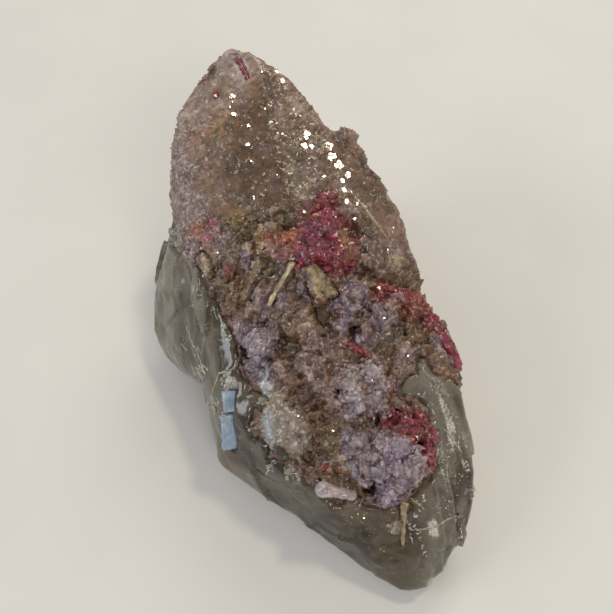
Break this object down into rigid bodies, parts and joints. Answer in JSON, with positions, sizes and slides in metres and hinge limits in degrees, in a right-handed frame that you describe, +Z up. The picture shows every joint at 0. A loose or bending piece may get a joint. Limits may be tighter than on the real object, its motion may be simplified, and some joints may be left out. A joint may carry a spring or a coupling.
{
  "type": "tourmaline in quartz specimen",
  "caption": "Hand-sized block of smoky quartz with a sugary lepidolite crust, lavender clusters, red tourmaline and feldspar blades, resting on its flat cut foot.",
  "frame": {"origin": "middle of the overall box at the bottom, on the flat foot the block rests on", "axes": "+Y from the low near tip to the high far peak, +X to the right side seen from the near tip, +Z up"},
  "size_m": [0.0793, 0.1101, 0.0652],
  "materials": {
    "smoky_quartz": "glassy, translucent grey-brown",
    "lepidolite_crust": "sugary, glossy mauve-brown grains",
    "lepidolite": "granular, pearly lavender",
    "tourmaline": "glassy magenta-red",
    "stained_feldspar": "granular, stained ochre",
    "cream_feldspar": "satin cream",
    "blue_feldspar": "pearly blue-grey, striated",
    "milky_quartz": "glassy, milky"
  },
  "bodies": {
    "root": {"quartz_body": "smoky_quartz", "lepidolite_slope": "lepidolite_crust", "lepidolite_near": "lepidolite", "lepidolite_left": "lepidolite", "lepidolite_middle": "lepidolite", "lepidolite_right": "lepidolite", "lilac_finger": "lepidolite", "tourmaline_main": "tourmaline", "tourmaline_nub": "tourmaline", "tourmaline_left": "tourmaline", "tourmaline_right": "tourmaline", "tourmaline_edge": "tourmaline", "tourmaline_near": "tourmaline", "tourmaline_needle": "tourmaline", "tourmaline_streak": "tourmaline", "feldspar_grains": "stained_feldspar", "feldspar_flake": "cream_feldspar", "feldspar_long_blade": "cream_feldspar", "feldspar_wedge": "cream_feldspar", "feldspar_ridge": "cream_feldspar", "feldspar_sliver": "cream_feldspar", "feldspar_band": "cream_feldspar", "blue_blade_upper": "blue_feldspar", "blue_blade_lower": "blue_feldspar", "milky_lens": "milky_quartz"}
  },
  "joints": []
}
